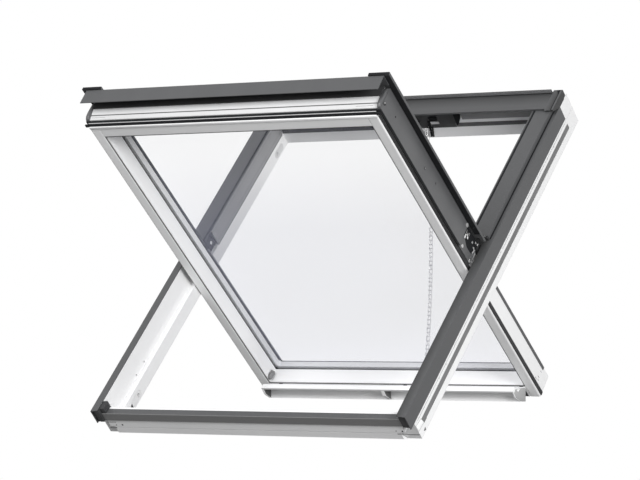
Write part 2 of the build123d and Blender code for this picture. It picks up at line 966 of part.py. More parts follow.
# Hinge plates on the sash
plate_x = (sash_half + touch_gap, sash_hinge_outer)
sash_hinge = block(
    plate_x, (-sash_hinge_far, sash_hinge_near), (-sash_hinge_low, -sash_hinge_high)
)
sash_hinge += block(plate_x, (-sash_knuckle_r, sash_knuckle_r), (-sash_hinge_low, 0))
sash_hinge += rod(sash_knuckle_r, plate_x[0], plate_x[1], 0, 0)
sash_hinge -= rod(pin_r + bore_clearance, plate_x[0] - overrun, plate_x[1] + overrun, 0, 0)
slot_low = slot_r - slot_width / 2
slot_high = slot_r + slot_width / 2
slot_points = []
slot_steps = 16
for radius, order in ((slot_high, 1), (slot_low, -1)):
    for index in range(slot_steps + 1)[::order]:
        angle = math.radians(slot_start_deg + (slot_end_deg - slot_start_deg) * index / slot_steps)
        slot_points.append((radius * math.cos(angle), radius * math.sin(angle)))
sash_hinge -= along_x(slot_points, plate_x[0] - overrun, plate_x[1] + overrun)
sash_pair("sash_hinge", sash_hinge)
heads = []
for y, z in sash_screws:
    heads.append(rod(screw_r, plate_x[1], plate_x[1] + screw_head, y, -z))
sash_piece("sash_hinge_screws", solids_of(*heads, *[mirrored(head) for head in heads]))

# Barrel bolt
bolt = rod(bolt_r, -sash_half + bolt_setback, -aperture_x + knob_foot, bolt_y, -bolt_z)
sash_piece("barrel_bolt", bolt)
knob = obround(
    knob_length, knob_width, -aperture_x, -aperture_x + knob_proud, bolt_y, -bolt_z, True
)
knob -= rod(bolt_r + press_clearance, -aperture_x - overrun, -aperture_x + knob_foot, bolt_y, -bolt_z)
sash_piece("bolt_knob", knob)

# Control bar across the top of the sash: a trough between end plates, with a lip in front
lip_back_y = bar_front_y + bar_lip_wall
z_bar = z_inside - bar_back
bar_rear = [(bar_heel_y, -bar_heel_z), (bar_end_y, -bar_end_z), (bar_rear_y, z_bar), (aperture_high, z_bar)]
bar_section = bar_rear + [
    (lip_back_y, -bar_front_high),
    (lip_back_y, -bar_front_high - bar_wall),
    (bar_heel_y - bar_trough_back, -bar_heel_z + bar_trough_rise),
]
bar_outline = bar_rear + [
    (lip_back_y, -bar_front_high),
    (lip_back_y, -bar_front_low),
    (bar_foot_y, -bar_foot_z),
]
bar_halves = {
    "control_bar_left": along_x(bar_section, bar_left, bar_mid_half)
    + along_x(bar_outline, bar_left, bar_left + bar_plate)
    + along_x(bar_outline, -bar_mid_half, bar_mid_half),
    "control_bar_right": along_x(bar_section, bar_mid_half + touch_gap, bar_right)
    + along_x(bar_outline, bar_right - bar_cap, bar_right),
}
bracket_shape = [
    (bar_axis_y - bracket_near, z_inside),
    (bar_axis_y + bracket_far, z_inside),
    (bar_axis_y + bracket_tip_up, -bar_axis_z - bracket_tip_out),
    (bar_axis_y - bracket_nose_r, -bar_axis_z),
]
bracket_at = (bracket_left, bracket_mid, bracket_right)
notch_y = (bar_axis_y - notch_down, bar_end_y + overrun)
notch_z = (-bar_axis_z - notch_out, z_inside)
for name, half in bar_halves.items():
    half -= rod(
        bar_shaft_r + press_clearance,
        bar_left + bar_shaft_inset,
        bar_right - bar_shaft_inset,
        bar_axis_y,
        -bar_axis_z,
    )
    for centre in bracket_at:
        room = bracket_width / 2 + bracket_side_gap
        half -= block((centre - room, centre + room), notch_y, notch_z)
    sash_piece(name, half)
lip_profile = [
    (bar_front_y, -bar_front_high),
    (bar_front_y, -bar_front_low),
    (lip_back_y, -bar_front_low),
    (lip_back_y, -bar_front_high),
]
sash_piece("control_bar_lip", along_x(lip_profile, bar_left, bar_right))
sash_piece(
    "control_bar_shaft",
    rod(bar_shaft_r, bar_left + bar_shaft_inset, bar_right - bar_shaft_inset, bar_axis_y, -bar_axis_z),
)
brackets = []
for centre in bracket_at:
    low = centre - bracket_width / 2
    high = centre + bracket_width / 2
    lug = along_x(bracket_shape, low, high) + rod(bracket_nose_r, low, high, bar_axis_y, -bar_axis_z)
    lug -= rod(bar_shaft_r + bore_clearance, low - overrun, high + overrun, bar_axis_y, -bar_axis_z)
    brackets.append(lug)
sash_piece("bar_brackets", solids_of(*brackets))

# Bracket of the chain on the top edge of the sash
claw_z = (bracket_z, z_step_top - thin_sheet - shake_gap)
claw = block(
    (bracket_x_low, bracket_x_high), (sash_top_reach, sash_top_reach + chain_bracket_reach), claw_z
)
claw -= block(
    (bracket_x_low + chain_bracket_wall, bracket_x_high - chain_bracket_wall),
    (sash_top_reach + chain_bracket_base, sash_top_reach + chain_bracket_reach + overrun),
    (claw_z[0] - overrun, claw_z[1] + overrun),
)
sash_piece("chain_bracket", claw)

# Push chain between the drive and the bracket
pitch_rad = math.radians(roof_pitch_deg)
sash_rad = math.radians(roof_pitch_deg - opening_deg)
top_y = y_head + chain_top_inset
start = Vector(
    0,
    top_y * math.cos(pitch_rad) - chain_top_z * math.sin(pitch_rad),
    top_y * math.sin(pitch_rad) + chain_top_z * math.cos(pitch_rad),
)
end_y = sash_top_reach + chain_bracket_reach + chain_link_width
end_z = -chain_end_drop
finish = Vector(
    0,
    end_y * math.cos(sash_rad) - end_z * math.sin(sash_rad),
    end_y * math.sin(sash_rad) + end_z * math.cos(sash_rad),
)
run = finish - start
side = Vector(0, -run.Z, run.Y).normalized()
marks = []
for index in range(chain_count + 1):
    share = index / chain_count
    sway_share = 4 * share * (1 - share)
    marks.append(start + run * share + side * (chain_bow * sway_share))
links = []
for index in range(chain_count):
    step = marks[index + 1] - marks[index]
    middle = (marks[index + 1] + marks[index]) / 2
    width_share = 1 if index % 2 == 0 else chain_waist_share
    thickness = chain_link_thickness * width_share
    outline = SlotOverall(step.length - chain_link_gap, chain_link_width * width_share)
    link = extrude(outline, thickness / 2, both=True)
    lean = math.degrees(math.atan2(step.Z, step.Y))
    links.append(Pos(chain_x, middle.Y, middle.Z) * Rot(lean, 0, 0) * Rot(0, 90, 90) * link)
export_step(solids_of(*links), os.path.join("parts", "push_chain.step"))
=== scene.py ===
import math

import bmesh
import bpy
from mathutils import Matrix, Vector


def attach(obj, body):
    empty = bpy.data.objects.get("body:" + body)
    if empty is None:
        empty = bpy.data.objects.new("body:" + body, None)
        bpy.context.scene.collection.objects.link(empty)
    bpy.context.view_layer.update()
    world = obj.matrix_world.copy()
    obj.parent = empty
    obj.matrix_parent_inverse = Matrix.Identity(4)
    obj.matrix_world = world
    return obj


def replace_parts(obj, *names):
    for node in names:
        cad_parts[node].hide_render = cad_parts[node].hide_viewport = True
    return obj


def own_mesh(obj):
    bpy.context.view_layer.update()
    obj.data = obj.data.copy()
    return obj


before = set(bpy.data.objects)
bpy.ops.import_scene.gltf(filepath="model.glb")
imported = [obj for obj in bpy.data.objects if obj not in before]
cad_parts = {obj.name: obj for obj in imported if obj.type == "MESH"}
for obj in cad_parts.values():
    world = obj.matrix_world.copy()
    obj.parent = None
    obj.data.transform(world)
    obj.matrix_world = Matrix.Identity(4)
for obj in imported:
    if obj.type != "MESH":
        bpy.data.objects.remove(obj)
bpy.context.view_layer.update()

scene = bpy.context.scene
scene.view_settings.view_transform = "Standard"

# The window is drawn shut about its pivot, then the frame leans back and the sash swings out
FRAME_LEAN = math.radians(45.0)
SASH_LEAN = math.radians(-40.0)
QUARTER_TURN = math.pi / 2.0
MM = 0.001
ORIGIN = (0.0, 0.0, 0.0)

# Axes of the shut window: across it, up its slope and outwards
ACROSS, SLOPE, OUTWARDS = 0, 1, 2

# Reach of a noise between the two tones of a finish
CLOUD_SPAN = (0.3, 0.7)

# Edges that turn by more than this stay sharp
SHARP_ANGLE = math.radians(32.0)

# Where painted light and shade start and where they are full, in metres across the window or up its slope
REVEAL_PAINTED_LIGHT = (-0.06, 0.10)
CASING_PAINTED_SHADE = (0.420, 0.4575)
RIGHT_COVER_PAINTED_SHADE = (0.3705, 0.3893)
LEFT_COVER_PAINTED_LIGHT = (-0.02, 0.08)
BOTTOM_COVER_PAINTED_LIGHT = (0.4954, 0.4966)
END_CAP_PAINTED_SHADE = (0.370, 0.383)
PANE_PAINTED_SHADE = (-0.29, -0.06)
CASING_SHADE_SHARE = 0.72
COVER_SHADE_SHARE = 0.75


# Shader sums
class Mark:
    """One output of a finish's nodes. A sum on it adds the Math node."""

    def __init__(self, tree, socket=None):
        self.tree = tree
        self.socket = socket

    def node(self, kind, settings=None, inputs=None, output=0):
        made = self.tree.nodes.new(kind)
        for name, value in (settings or {}).items():
            setattr(made, name, value)
        for name, value in (inputs or {}).items():
            if isinstance(value, Mark):
                self.tree.links.new(value.socket, made.inputs[name])
            else:
                made.inputs[name].default_value = value
        return Mark(self.tree, made.outputs[output])

    def sum_of(self, operation, first, second):
        return self.node("ShaderNodeMath", {"operation": operation}, {0: first, 1: second})

    def __add__(self, other):
        return self.sum_of("ADD", self, other)

    def __radd__(self, other):
        return self.sum_of("ADD", other, self)

    def __sub__(self, other):
        return self.sum_of("SUBTRACT", self, other)

    def __rsub__(self, other):
        return self.sum_of("SUBTRACT", other, self)

    def __mul__(self, other):
        return self.sum_of("MULTIPLY", self, other)

    def __rmul__(self, other):
        return self.sum_of("MULTIPLY", other, self)

    def __abs__(self):
        return self.sum_of("ABSOLUTE", self, 0.0)

    def most(self, other):
        return self.sum_of("MAXIMUM", self, other)

    def around(self, level, swing):
        return self * swing + level

    def mixed(self, other, share):
        """This share of the one and the rest of the other."""
        return self * share + other * (1.0 - share)

    def band(self, low, high):
        """0 below low, 1 above high, with an even rise between."""
        return self.node(
            "ShaderNodeMapRange",
            {"clamp": True},
            {"Value": self, "From Min": low, "From Max": high, "To Min": 0.0, "To Max": 1.0},
        )

    def tint(self, first, second):
        """The first colour where this is 0, the second where it is 1."""
        return self.node(
            "ShaderNodeMix",
            {"data_type": "RGBA"},
            {"Factor": self, 6: first, 7: second},
            output=2,
        )

    def shade(self, low, high, blue=0.0, span=CLOUD_SPAN):
        """Two greys, clouded by a noise."""
        return self.band(*span).tint(grey(low, blue), grey(high, blue))

    def noise(self, place, scale, detail=2.0):
        return self.node(
            "ShaderNodeTexNoise",
            {"noise_dimensions": "3D"},
            {"Vector": place, "Scale": scale, "Detail": detail, "Roughness": 0.55},
        )

    def stretched(self, scale):
        return self.node("ShaderNodeMapping", {}, {"Vector": self, "Scale": scale})

    def parts(self):
        """The three coordinates of a place."""
        split = self.node("ShaderNodeSeparateXYZ", {}, {"Vector": self}).socket.node
        return [Mark(self.tree, output) for output in split.outputs]

    def shown(self):
        """1 where the eye, a mirror or a pane looks straight at it."""
        seen, mirrored, passed = (
            self.node("ShaderNodeLightPath", output=ray)
            for ray in ("Is Camera Ray", "Is Glossy Ray", "Is Transmission Ray")
        )
        return seen.most(mirrored).most(passed)


def grey(level, blue=0.0):
    green_share = 0.3
    return (level, level + green_share * blue, level + blue, 1.0)


def new_finish(name):
    material = bpy.data.materials.new(name)
    material.use_nodes = True
    shader = material.node_tree.nodes["Principled BSDF"]
    start = Mark(material.node_tree)
    place = start.node("ShaderNodeTexCoord", output="Object")
    return material, shader, start, place


def wire(shader, **links):
    """Sets or links the shader's sockets; an underscore stands for a space."""
    for name, value in links.items():
        socket = shader.inputs[name.replace("_", " ")]
        if isinstance(value, Mark):
            value.tree.links.new(value.socket, socket)
        else:
            socket.default_value = value


def skin(start, height, strength, depth, edge):
    """Surface bump over rounded edges."""
    rounded = start.node("ShaderNodeBevel", {"samples": 4}, {"Radius": edge})
    return start.node(
        "ShaderNodeBump",
        {},
        {"Strength": strength, "Distance": depth, "Height": height, "Normal": rounded},
    )


def lacquer(name, low, high, rough):
    """Smooth sprayed lacquer: faint clouding and a fine orange-peel skin."""
    material, shader, start, place = new_finish(name)
    cloud = start.noise(place, scale=7.0, detail=3.0)
    peel = start.noise(place, scale=520.0)
    wire(
        shader,
        Base_Color=cloud.shade(low, high, blue=0.006),
        Roughness=cloud.around(rough, swing=0.12),
        Normal=skin(start, peel, strength=0.05, depth=0.0004, edge=0.0012),
    )
    return material


def coil_coat(name, low, high, rough):
    """Coil-coated sheet: fine grain in the coat and slow clouding along the length."""
    material, shader, start, place = new_finish(name)
    cloud = start.noise(place.stretched((3.0, 1.0, 1.0)), scale=5.0, detail=4.0)
    grain = start.noise(place, scale=900.0)
    wire(
        shader,
        Base_Color=cloud.mixed(grain, share=0.7).shade(low, high, blue=0.004),
        Roughness=grain.around(rough, swing=0.14),
        Normal=skin(start, grain, strength=0.12, depth=0.0003, edge=0.001),
    )
    return material


def moulded(name, low, high, rough, gloss=0.4):
    """Moulded plastic or rubber with a matt grain."""
    material, shader, start, place = new_finish(name)
    grain = start.noise(place, scale=700.0, detail=3.0)
    cloud = start.noise(place, scale=12.0)
    wire(
        shader,
        Base_Color=cloud.mixed(grain, share=0.6).shade(low, high, blue=0.002),
        Roughness=grain.around(rough, swing=0.2),
        Normal=skin(start, grain, strength=0.2, depth=0.0003, edge=0.0008),
        Specular_IOR_Level=gloss,
    )
    return material


def plated(name, low, high, rough):
    """Zinc-plated or brushed steel: drawn lines across the part and a few dull spots."""
    material, shader, start, place = new_finish(name)
    lines = start.noise(place.stretched((40.0, 900.0, 900.0)), scale=1.0)
    dull = start.noise(place, scale=130.0, detail=3.0)
    wire(
        shader,
        Base_Color=dull.shade(low, high, span=(0.35, 0.7)),
        Roughness=lines.around(rough, swing=0.16),
        Metallic=1.0,
        Normal=skin(start, lines, strength=0.08, depth=0.0002, edge=0.0006),
    )
    return material


def painted_shading_cover(name, low, high, rough, painted_shading_of, level=0.012):
    """A coated sheet with painted light and shade: a grey level of its own, laid on where the given sum of
    its place says.
    """
    material, shader, start, place = new_finish(name)
    across, deep, up = place.parts()
    cloud = start.noise(place, scale=5.0, detail=4.0)
    grain = start.noise(place, scale=900.0)
    painted_shading = painted_shading_of(across, (deep + up) * math.cos(FRAME_LEAN))
    unshaded_coat = cloud.mixed(grain, share=0.7).shade(low, high, blue=0.004)
    wire(
        shader,
        Base_Color=painted_shading.tint(unshaded_coat, grey(level)),
        Roughness=painted_shading.around(grain.around(rough, swing=0.14), swing=0.15),
        Normal=skin(start, grain, strength=0.12, depth=0.0003, edge=0.001),
    )
    return material


def clear_pane(name, share):
    """Float glass: a thin pale film over a clear pane in slow waves, with painted shade that grows up the
    slope.
    """
    material, shader, start, place = new_finish(name)
    wave = start.noise(place, scale=2.2)
    deep, up = place.parts()[1:]
    slope = deep * math.cos(-SASH_LEAN) - up * math.sin(-SASH_LEAN)
    painted_shading = slope.band(*PANE_PAINTED_SHADE).around(share, swing=0.040)
    wire(
        shader,
        Base_Color=wave.band(*CLOUD_SPAN).tint((0.64, 0.68, 0.90, 1.0), (0.70, 0.73, 0.94, 1.0)),
        Roughness=wave.around(0.02, swing=0.03),
        Alpha=wave.around(painted_shading, swing=0.02),
        IOR=1.5,
    )
    return material


# White finishes
white_lacquer = lacquer("white_lacquer", low=0.845, high=0.875, rough=0.36)
# A brighter copy of the white lacquer: painted light that lifts the control bar's shaded trough
bar_white_painted_light = lacquer("control_bar_white", low=0.93, high=0.95, rough=0.32)
# A brighter copy of the white lacquer: painted light on the sash's left stile, its top rail and the stiles'
# end plugs
stile_white_painted_light = lacquer("sash_stile_white", low=0.92, high=0.95, rough=0.34)
bush_white = moulded("bush_white", low=0.70, high=0.76, rough=0.45)
# A dimmed copy of the white lacquer: painted shadow on the sash's edge facing and a painted highlight on
# its gasket
edge_shade_and_highlight = lacquer("sash_edge_white", low=0.60, high=0.66, rough=0.4)
spacer_white = lacquer("spacer_white", low=0.86, high=0.91, rough=0.35)
# A dimmed copy of the white lacquer for the frame's left stile: painted shade, turning to painted light up
# the slope
reveal_white = painted_shading_cover(
    "reveal_white", 0.77, 0.80, 0.38, lambda across, along: along.band(*REVEAL_PAINTED_LIGHT), level=0.95
)

# Grey and black finishes
line_grey = moulded("groove_line_grey", low=0.09, high=0.13, rough=0.55, gloss=0.2)
pale_line = lacquer("pale_line", low=0.40, high=0.46, rough=0.45)
drive_grey = moulded("drive_grey", low=0.034, high=0.044, rough=0.45, gloss=0.15)
# A lighter copy of the gaskets' dark grey: painted light on the shaded drive cover
drive_cover_painted_light = moulded("drive_cover_painted_light", low=0.058, high=0.072, rough=0.45, gloss=0.15)
hinge_dark = moulded("hinge_dark", low=0.030, high=0.045, rough=0.4, gloss=0.2)
# A lighter copy of the black seal: painted light on the shaded seal under the sash's skirt
skirt_seal_painted_light = moulded("skirt_seal_grey", low=0.050, high=0.065, rough=0.6, gloss=0.1)
# Dark grey for the control bar's inner brackets: painted shadow on their shaded ends
bracket_shadow_grey = moulded("bar_bracket_shadow_grey", low=0.11, high=0.14, rough=0.5)
cap_grey = moulded("bar_cap_grey", low=0.36, high=0.41, rough=0.45)
knob_grey = moulded("knob_grey", low=0.22, high=0.27, rough=0.4)
rail_shade = lacquer("rail_shade_grey", low=0.22, high=0.27, rough=0.5)
# Near-black sheet: painted shadow under the sash's side covers
cover_underside_shade = moulded("cover_underside_shade_grey", low=0.014, high=0.022, rough=0.6, gloss=0.1)
strip_grey = moulded("strip_grey", low=0.15, high=0.19, rough=0.5)
seal_black = moulded("seal_black", low=0.010, high=0.016, rough=0.6, gloss=0.1)
fitting_black = moulded("fitting_black", low=0.016, high=0.024, rough=0.45, gloss=0.15)
fitting_grey = moulded("fitting_grey", low=0.30, high=0.36, rough=0.38)

# Coated sheet, by its two greys and its roughness
COVER = (0.062, 0.074, 0.42)
cover_grey = coil_coat("cover_grey", *COVER)
# A lighter copy of the cover grey: painted light on the front of the casing's fold
fold_grey_painted_light = coil_coat("casing_fold_grey", low=0.085, high=0.100, rough=0.42)
profile_grey = coil_coat("sash_profile_grey", low=0.065, high=0.12, rough=0.36)
reveal_profile_grey = coil_coat("reveal_profile_grey", low=0.27, high=0.37, rough=0.42)
# Painted shade: the casing darkens up the slope towards its lip
casing_coat = painted_shading_cover(
    "casing_grey", *COVER, lambda across, along: along.band(*CASING_PAINTED_SHADE) * CASING_SHADE_SHARE
)
# Painted shade: the right lower cover darkens towards its inner edge
right_cover_coat = painted_shading_cover(
    "right_cover_grey",
    *COVER,
    lambda across, along: (1.0 - across.band(*RIGHT_COVER_PAINTED_SHADE)) * COVER_SHADE_SHARE,
)
# Painted light: the left lower cover turns lighter up the slope
left_cover_coat = painted_shading_cover(
    "left_cover_grey", 0.058, 0.068, 0.42, lambda across, along: along.band(*LEFT_COVER_PAINTED_LIGHT), level=0.096
)
# Painted light: the bottom cover turns lighter along its lowest strip
bottom_cover_coat = painted_shading_cover(
    "bottom_cover_grey",
    *COVER,
    lambda across, along: (0.0 - along).band(*BOTTOM_COVER_PAINTED_LIGHT),
    level=0.165,
)
# Painted shade: the casing's end caps darken outwards towards their valleys
cap_coat = painted_shading_cover(
    "end_cap_grey", *COVER, lambda across, along: abs(across).band(*END_CAP_PAINTED_SHADE) * COVER_SHADE_SHARE
)

# Steel and glass
spring_steel = plated("spring_steel", low=0.86, high=0.95, rough=0.36)
chain_steel = plated("chain_steel", low=0.74, high=0.86, rough=0.36)
bright_steel = plated("bright_steel", low=0.55, high=0.68, rough=0.22)
pane_glass = clear_pane("pane_glass", share=0.019)

finishes = {
    "white_paint": white_lacquer,
    "dark_cover": cover_grey,
    "grey_strip": strip_grey,
    "black_rubber": seal_black,
    "black_plastic": fitting_black,
    "steel": bright_steel,
    "grey_plastic": fitting_grey,
    "light_spacer": spacer_white,
    "clear_glass": pane_glass,
}
own_finish = {
    "frame_stile_left": reveal_white,
    "sash_stile_left": stile_white_painted_light,
    "control_bar_left": bar_white_painted_light,
    "control_bar_right": bar_white_painted_light,
    "control_bar_lip": bar_white_painted_light,
    "ventilation_bush": bush_white,
    "cleaning_bush": bush_white,
    "drive_cover": drive_cover_painted_light,
    "sash_top_rail": stile_white_painted_light,
    "sash_side_gasket_left": drive_grey,
    "sash_side_gasket_right": drive_grey,
    "frame_bottom_cover": bottom_cover_coat,
    "sash_bottom_seal": skirt_seal_painted_light,
    "top_casing": casing_coat,
    "frame_lower_cover_left": left_cover_coat,
    "frame_lower_cover_right": right_cover_coat,
    "casing_end_cap_left": cap_coat,
    "casing_end_cap_right": cap_coat,
    "frame_hinge_left": hinge_dark,
    "frame_hinge_right": hinge_dark,
    "hinge_pin_left": hinge_dark,
    "hinge_pin_right": hinge_dark,
    "sash_hinge_left": profile_grey,
    "sash_hinge_right": profile_grey,
    "sash_side_profile_left": profile_grey,
    "sash_side_profile_right": profile_grey,
}
for name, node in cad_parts.items():
    for slot in node.material_slots:
        stem = slot.material.name.split(".")[0] if slot.material else ""
        slot.material = own_finish.get(name) or finishes.get(stem, white_lacquer)


# Makers of the small pieces, in millimetres on the shut window's plan
def softened(mesh, edges, radius, steps):
    bmesh.ops.bevel(
        mesh,
        geom=edges,
        offset=radius,
        offset_type="OFFSET",
        segments=steps,
        profile=0.5,
        affect="EDGES",
        clamp_overlap=True,
        material=-1,
    )
    return mesh


def grow(mesh, faces, shift):
    """Extrudes faces and moves what has grown."""
    grown = bmesh.ops.extrude_face_region(mesh, geom=faces)
    far = [item for item in grown["geom"] if isinstance(item, bmesh.types.BMVert)]
    bmesh.ops.translate(mesh, verts=far, vec=shift)


def turned(mesh, angle, axis):
    turn = Matrix.Rotation(angle, 3, axis)
    bmesh.ops.rotate(mesh, verts=mesh.verts[:], cent=ORIGIN, matrix=turn)


def drawn(outline, axis, span, edge=0.0, steps=2):
    """An outline of a few corners drawn out along one axis, with its edges softened."""
    mesh = bmesh.new()
    ring = []
    for corner in outline:
        place = list(corner)
        place.insert(axis, span[0])
        ring.append(mesh.verts.new(place))
    shift = [0.0, 0.0, 0.0]
    shift[axis] = span[1] - span[0]
    grow(mesh, [mesh.faces.new(ring)], shift)
    bmesh.ops.recalc_face_normals(mesh, faces=mesh.faces[:])
    return softened(mesh, mesh.edges[:], edge, steps) if edge else mesh


def bar(across, slope, level, edge=0.0, steps=2):
    """A straight bar between two places on each axis."""
    outline = [
        (slope[0], level[0]),
        (slope[1], level[0]),
        (slope[1], level[1]),
        (slope[0], level[1]),
    ]
    return drawn(outline, ACROSS, across, edge, steps)


def pin(place, axis, radius, length, sides=24):
    """A round pin along one axis, with a turned edge."""
    rim_share = 0.18
    mesh = bmesh.new()
    bmesh.ops.create_cone(
        mesh, cap_ends=True, segments=sides, radius1=radius, radius2=radius, depth=length
    )
    if axis != OUTWARDS:
        turned(mesh, QUARTER_TURN, "YX"[axis])
    bmesh.ops.translate(mesh, verts=mesh.verts[:], vec=place)
    rims = [edge for edge in mesh.edges if any(len(face.verts) > 4 for face in edge.link_faces)]
    return softened(mesh, rims, min(radius, length) * rim_share, steps=2)


def four_sided(half, slope, level, width):
    """A four-sided ring by its outer half-width, its outer ends, its two levels and its width."""
    mesh = bmesh.new()
    corners = [(-half, slope[0]), (half, slope[0]), (half, slope[1]), (-half, slope[1])]
    middle = mesh.faces.new([mesh.verts.new((x, y, level[0])) for x, y in corners])
    mesh.normal_update()
    bmesh.ops.inset_region(mesh, faces=[middle], thickness=width, use_even_offset=True, use_boundary=True)
    bmesh.ops.delete(mesh, geom=[middle], context="FACES")
    grow(mesh, mesh.faces[:], (0.0, 0.0, level[1] - level[0]))
    bmesh.ops.recalc_face_normals(mesh, faces=mesh.faces[:])
    return mesh


def both_sides(mesh):
    """Adds the mirror image on the other side of the window."""
    whole = mesh.verts[:] + mesh.edges[:] + mesh.faces[:]
    bmesh.ops.mirror(mesh, geom=whole, matrix=Matrix.Identity(4), merge_dist=0.0001, axis="X")
    bmesh.ops.recalc_face_normals(mesh, faces=mesh.faces[:])
    return mesh


def joined(*meshes):
    whole = bmesh.new()
    for mesh in meshes:
        data = bpy.data.meshes.new("joining")
        mesh.to_mesh(data)
        mesh.free()
        whole.from_mesh(data)
        bpy.data.meshes.remove(data)
    return whole


def settle(name, mesh, body, finish, lean=None):
    """Turns a piece from the plan to its place and lets it ride on its body."""
    if lean is None:
        lean = FRAME_LEAN if body == "frame" else SASH_LEAN
    turn = Matrix.Rotation(lean, 4, "X") @ Matrix.Scale(MM, 4)
    bmesh.ops.transform(mesh, matrix=turn, verts=mesh.verts[:])
    data = bpy.data.meshes.new(name)
    mesh.to_mesh(data)
    mesh.free()
    data.shade_smooth()
    data.set_sharp_from_angle(angle=SHARP_ANGLE)
    data.materials.append(finish)
    piece = bpy.data.objects.new(name, data)
    scene.collection.objects.link(piece)
    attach(piece, body)
    return piece


# Lower edge of the sash, which stands at the top while the window is open
SASH_SIDE = 356.5
FACING_SPAN = (-355.8, 355.8)
EDGE_SPAN = (-356.0, 356.0)
EDGE_SHADOW = [(-464.3, -60.4), (-470.25, -35.2), (-469.6, -35.2), (-463.6, -60.4)]
EDGE_LINE = [(-466.8, -51.5), (-467.3, -49.3), (-466.5, -49.3), (-466.0, -51.5)]
SHORT_LINE = [(-465.6, -56.4), (-465.85, -55.5), (-465.0, -55.5), (-464.8, -56.4)]
SHORT_LINE_SPANS = [(-352.0, -318.0), (305.0, 345.0)]
# The facing's grey is painted shadow that the skirt casts on the sash's lower edge
settle(
    "sash_edge_shadow",
    drawn(EDGE_SHADOW, ACROSS, FACING_SPAN, edge=0.1, steps=1),
    "sash",
    edge_shade_and_highlight,
)
settle(
    "sash_edge_line",
    drawn(EDGE_LINE, ACROSS, EDGE_SPAN, edge=0.1, steps=1),
    "sash",
    line_grey,
)
settle(
    "sash_edge_short_lines",
    joined(*[drawn(SHORT_LINE, ACROSS, span) for span in SHORT_LINE_SPANS]),
    "sash",
    pale_line,
)
# A pale strip on the gasket: a painted highlight between its black ribs
settle(
    "sash_gasket_highlight",
    bar(across=EDGE_SPAN, slope=(-463.3, -461.8), level=(-70.4, -68.9), edge=0.3, steps=1),
    "sash",
    edge_shade_and_highlight,
)
settle(
    "sash_edge_bead",
    bar(across=FACING_SPAN, slope=(-456.5, -450.2), level=(-75.7, -72.75), edge=0.5),
    "sash",
    white_lacquer,
)
UPPER_TIP_END = 362.5
LOWER_TIP_END = 364.0
for side, name in ((-1.0, "sash_gasket_tips_left"), (1.0, "sash_gasket_tips_right")):
    upper_span = sorted((SASH_SIDE * side, UPPER_TIP_END * side))
    lower_span = sorted((SASH_SIDE * side, LOWER_TIP_END * side))
    tips = joined(
        bar(across=upper_span, slope=(-463.5, -457.0), level=(-67.2, -63.4), edge=0.5),
        bar(across=lower_span, slope=(-462.5, -456.0), level=(-74.4, -70.9), edge=0.5),
    )
    tips = settle(name, tips, "sash", seal_black)
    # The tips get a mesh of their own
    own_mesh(tips)

# Side profiles and seals of the sash
PROFILE_END = [
    (-464.3, -62.6),
    (-468.0, -61.5),
    (-471.5, -56.0),
    (-472.5, -46.0),
    (-472.0, -24.0),
    (-470.0, -14.5),
    (-464.3, -9.5),
]
UNDER_SEAL_SLOPE = (-463.0, -51.0)
settle(
    "sash_profile_ends",
    both_sides(drawn(PROFILE_END, ACROSS, (356.9, 364.6), edge=0.8)),
    "sash",
    profile_grey,
)
settle(
    "sash_profile_screws",
    both_sides(
        joined(
            pin((365.3, -459.9, -46.0), ACROSS, radius=4.2, length=1.4),
            pin((365.3, -260.0, -38.0), ACROSS, radius=3.0, length=1.2),
        )
    ),
    "sash",
    hinge_dark,
)
settle(
    "sash_profile_screw_slots",
    both_sides(
        joined(
            pin((366.0, -460.4, -45.2), ACROSS, radius=2.2, length=0.8),
            pin((365.9, -260.0, -38.0), ACROSS, radius=1.4, length=0.8),
        )
    ),
    "sash",
    fitting_grey,
)
settle(
    "sash_cover_plugs",
    both_sides(bar(across=(331.5, 380.0), slope=(-503.9, -502.75), level=(-8.4, -1.4), edge=0.4)),
    "sash",
    seal_black,
)
# Painted shadow: near-black sheets on the shaded undersides of the sash's side covers
settle(
    "sash_cover_underside_shades",
    both_sides(bar(across=(366.4, 379.6), slope=(-500.0, -22.0), level=(-8.1, -7.5), edge=0.2, steps=1)),
    "sash",
    cover_underside_shade,
)
settle(
    "sash_gasket_flaps",
    both_sides(
        bar(across=(SASH_SIDE, 357.8), slope=(-455.5, 434.0), level=(-72.1, -70.9), edge=0.2, steps=1)
    ),
    "sash",
    drive_grey,
)
settle(
    "sash_profile_under_seals",
    both_sides(
        joined(
            bar(across=(357.9, 361.0), slope=UNDER_SEAL_SLOPE, level=(-64.4, -63.2), edge=0.3, steps=1),
            bar(across=(362.4, 365.4), slope=UNDER_SEAL_SLOPE, level=(-64.4, -62.6), edge=0.3, steps=1),
        )
    ),
    "sash",
    drive_grey,
)
settle(
    "skirt_gap_strip",
    bar(across=(-356.0, 358.0), slope=(-472.2, -470.1), level=(-16.8, -9.3), edge=0.3, steps=1),
    "sash",
    skirt_seal_painted_light,
)

